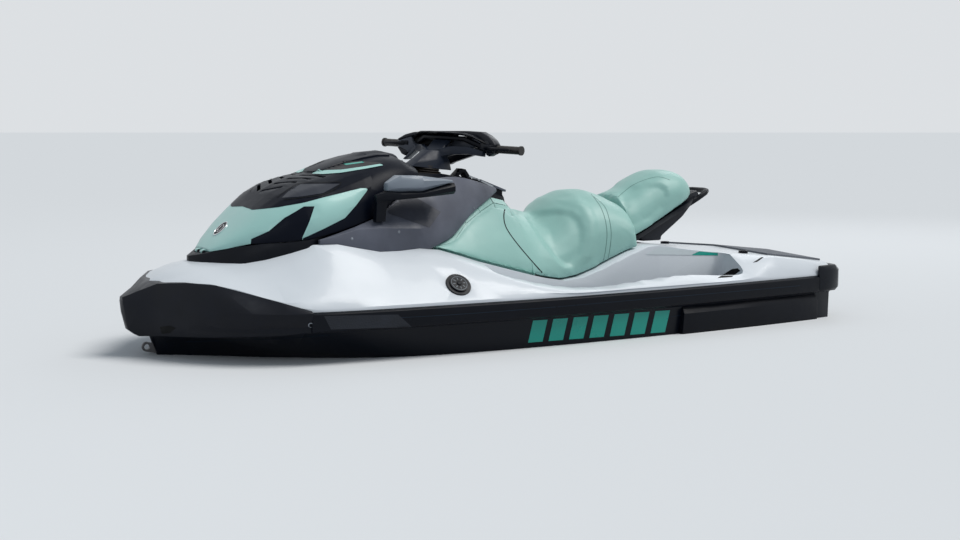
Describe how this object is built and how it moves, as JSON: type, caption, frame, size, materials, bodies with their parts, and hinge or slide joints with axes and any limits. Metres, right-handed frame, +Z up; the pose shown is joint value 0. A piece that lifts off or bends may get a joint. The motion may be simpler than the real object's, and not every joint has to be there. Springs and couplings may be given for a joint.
{
  "type": "personal watercraft",
  "caption": "Three-seat personal watercraft with jet pump, turning handlebar and nozzle, reverse bucket, opening front hood and boarding step, floating at its waterline.",
  "frame": {"origin": "amidships on the centreline at the waterline", "axes": "+X to the bow, +Y to port, +Z up"},
  "size_m": [3.316, 1.2538, 1.1401],
  "materials": {
    "hull_navy": "satin",
    "deck_white": "gloss",
    "mint": "satin",
    "black_plastic": "textured",
    "grey_plastic": "textured",
    "silver_plastic": "satin",
    "mirror": "polished",
    "vinyl_mint": "grained",
    "rubber": "matte",
    "mat_rubber": "ribbed",
    "pump_alloy": "cast",
    "steel": "brushed",
    "engine_alloy": "cast",
    "display_glass": "gloss"
  },
  "bodies": {
    "root": {"lower_hull": "hull_navy", "deck": "deck_white", "nose_bumper": "black_plastic", "rub_rails": "black_plastic", "stern_bumpers": "black_plastic", "storage_tray": "black_plastic", "storage_bin": "black_plastic", "side_panels": "grey_plastic", "mirror_housings": "silver_plastic", "mirror_arms": "black_plastic", "mirror_glass": "mirror", "console": "black_plastic", "glovebox_bin": "black_plastic", "knee_skirt": "mint", "seat_front": "vinyl_mint", "seat_rear": "vinyl_mint", "grab_handle": "black_plastic", "foot_mats": "mat_rubber", "platform_mat": "mat_rubber", "deck_sockets": "black_plastic", "fuel_cap": "black_plastic", "sponsons": "black_plastic", "engine": "engine_alloy", "intake_grate": "pump_alloy", "ride_plate": "pump_alloy", "pump_housing": "pump_alloy", "ladder_bracket": "black_plastic", "tow_hook": "steel", "bow_eye": "steel", "drain_plugs": "black_plastic"},
    "hood": {"hood_shell": "mint", "hood_cowl": "black_plastic", "gauge_display": "display_glass"},
    "steering": {"steering_riser": "black_plastic", "handlebar": "black_plastic", "handlebar_cover": "black_plastic", "grips": "rubber", "levers": "black_plastic"},
    "glovebox": {"glovebox_lid": "grey_plastic"},
    "impeller": {"impeller": "steel", "drive_shaft": "steel"},
    "nozzle": {"steering_nozzle": "pump_alloy"},
    "bucket": {"reverse_bucket": "black_plastic"},
    "ladder": {"boarding_ladder": "black_plastic"}
  },
  "joints": [
    {"name": "steering", "type": "hinge", "parent": "root", "child": "steering", "pos_m": [0.335, 0, 0.712], "axis": [-0.1045, 0, 0.9945], "range_deg": [-48, 2]},
    {"name": "nozzle", "type": "hinge", "parent": "root", "child": "nozzle", "pos_m": [-1.4423, 0, -0.135], "axis": [0, 0, -1], "range_deg": [-43.2, 1.8]},
    {"name": "reverse_bucket", "type": "hinge", "parent": "root", "child": "bucket", "pos_m": [-1.4543, 0, -0.131], "axis": [0, -1, 0], "range_deg": [0, 75]},
    {"name": "impeller_spin", "type": "hinge", "parent": "root", "child": "impeller", "pos_m": [-1.2, 0, -0.135], "axis": [1, 0, 0], "continuous": true},
    {"name": "hood", "type": "hinge", "parent": "root", "child": "hood", "pos_m": [1.335, 0, 0.404], "axis": [0, 1, 0], "range_deg": [0, 55]},
    {"name": "glovebox_lid", "type": "hinge", "parent": "root", "child": "glovebox", "pos_m": [0.09665, 0, 0.67068], "axis": [0, 1, 0], "range_deg": [0, 75]},
    {"name": "boarding_ladder", "type": "hinge", "parent": "root", "child": "ladder", "pos_m": [-1.626, 0, 0.06], "axis": [0, -1, 0], "range_deg": [0, 165]}
  ],
  "couplings": [
    {"joint": "nozzle", "follows": "steering", "ratio": 0.9}
  ]
}
